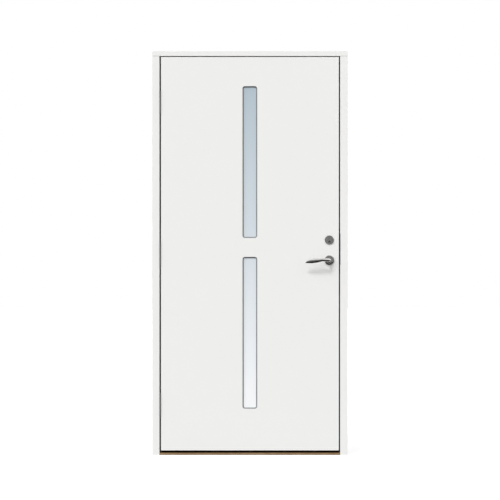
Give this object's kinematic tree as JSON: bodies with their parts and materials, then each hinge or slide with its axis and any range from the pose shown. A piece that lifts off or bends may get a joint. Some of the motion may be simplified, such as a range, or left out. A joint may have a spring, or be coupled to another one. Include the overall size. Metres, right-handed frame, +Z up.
{
  "type": "exterior door with frame",
  "caption": "White outward-opening exterior door hung in its timber frame, with narrow satin glass slots, a lever handle, a lock cylinder and an oak threshold.",
  "frame": {"origin": "underside of the threshold, halfway across the frame's width and depth", "axes": "+X to the lock side seen from outside, +Y into the house, +Z up; the outside faces -Y"},
  "size_m": [1.01, 0.1808, 2.09],
  "materials": {
    "frame_paint": "satin white paint on timber",
    "leaf_paint": "satin white paint on smooth board",
    "oak": "oiled oak",
    "black_rubber": "matt black rubber",
    "grey_rubber": "matt grey rubber",
    "satin_glass": "satin glass",
    "spacer_metal": "mill finish",
    "foam": "rigid insulating foam",
    "dark_hinge_steel": "dark bronze coating",
    "lock_steel": "brushed steel",
    "polished_nickel": "polished nickel"
  },
  "bodies": {
    "frame": {"hinge_jamb": "frame_paint", "lock_jamb": "frame_paint", "head": "frame_paint", "threshold": "oak", "seal_hinge_side": "black_rubber", "seal_lock_side": "black_rubber", "seal_head": "black_rubber", "seal_threshold": "black_rubber", "strike_plate": "lock_steel", "hinge_post_bottom": "dark_hinge_steel", "hinge_post_middle": "dark_hinge_steel", "hinge_post_top": "dark_hinge_steel"},
    "leaf": {"outer_skin": "leaf_paint", "inner_skin": "leaf_paint", "hinge_stile": "leaf_paint", "lock_stile": "leaf_paint", "top_rail": "leaf_paint", "bottom_rail": "leaf_paint", "insulation_core": "foam", "bottom_seal": "black_rubber", "mortise_lock": "lock_steel", "latch_bolt": "lock_steel", "dead_bolt": "lock_steel", "rose_outside": "polished_nickel", "rose_inside": "polished_nickel", "cylinder_ring": "polished_nickel", "cylinder_body": "polished_nickel", "thumbturn_rose": "polished_nickel", "thumbturn": "polished_nickel", "hinge_flap_bottom": "dark_hinge_steel", "hinge_flap_middle": "dark_hinge_steel", "hinge_flap_top": "dark_hinge_steel", "glazing_lower": "satin_glass", "glazing_upper": "satin_glass", "spacers_lower": "spacer_metal", "spacers_upper": "spacer_metal", "gasket_lower_outside": "grey_rubber", "gasket_lower_inside": "grey_rubber", "gasket_upper_outside": "grey_rubber", "gasket_upper_inside": "grey_rubber"},
    "lever_set": {"lever_outside": "polished_nickel", "lever_inside": "polished_nickel", "spindle": "lock_steel"},
    "lock_plug": {"key_plug": "polished_nickel"}
  },
  "joints": [
    {"name": "leaf_swing", "type": "hinge", "parent": "frame", "child": "leaf", "pos_m": [-0.4639, -0.0595, 1.041], "axis": [0, 0, -1], "range_deg": [0, 100]},
    {"name": "lever_turn", "type": "hinge", "parent": "leaf", "child": "lever_set", "pos_m": [0.4108, -0.0265, 1.008], "axis": [0, -1, 0], "range_deg": [0, 40], "stiffness_Nm_per_rad": 1.2, "springref_deg": -45.84},
    {"name": "key_turn", "type": "hinge", "parent": "leaf", "child": "lock_plug", "pos_m": [0.4108, -0.05, 1.1055], "axis": [0, 1, 0], "range_deg": [-90, 90]}
  ]
}
